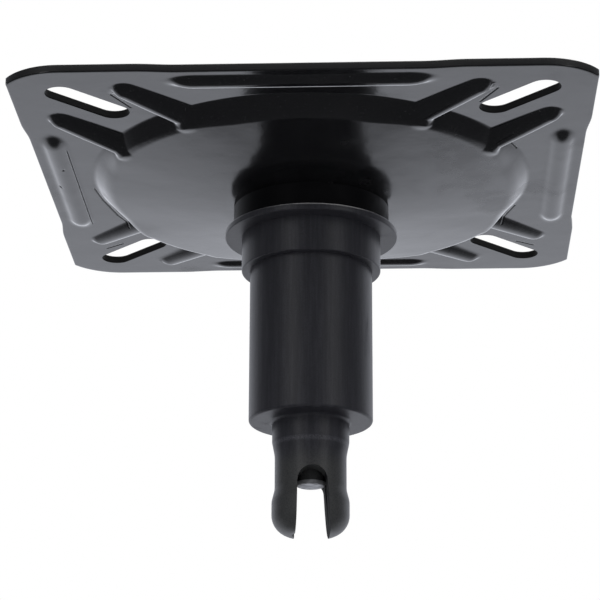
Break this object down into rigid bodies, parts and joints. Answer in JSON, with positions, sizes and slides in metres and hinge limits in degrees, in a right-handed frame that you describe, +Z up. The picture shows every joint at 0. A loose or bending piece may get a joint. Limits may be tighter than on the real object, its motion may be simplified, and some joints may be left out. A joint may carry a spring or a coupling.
{
  "type": "swivel seat mount",
  "caption": "Square pressed-steel seat plate that swivels on a plug-in plastic post bushing with a split snap end, for a pedestal tube.",
  "frame": {"origin": "on the swivel axis, at the flange's underside that rests on the end of the pedestal tube", "axes": "+Z up along the swivel axis, X and Y square to the plate's sides, -Y towards the camera of the reference picture"},
  "size_m": [0.1778, 0.1778, 0.1226],
  "materials": {
    "black_paint": "gloss",
    "black_collar": "satin",
    "pin_steel": "gloss",
    "bare_steel": "satin",
    "black_plastic": "satin"
  },
  "bodies": {
    "bushing": {"post_bushing": "black_plastic"},
    "seat_side": {"seat_plate": "black_paint", "hub_collar": "black_collar", "swivel_pin": "pin_steel", "retaining_cap": "bare_steel"}
  },
  "joints": [
    {"name": "swivel", "type": "hinge", "parent": "bushing", "child": "seat_side", "pos_m": [0, 0, 0], "axis": [0, 0, 1], "continuous": true}
  ]
}
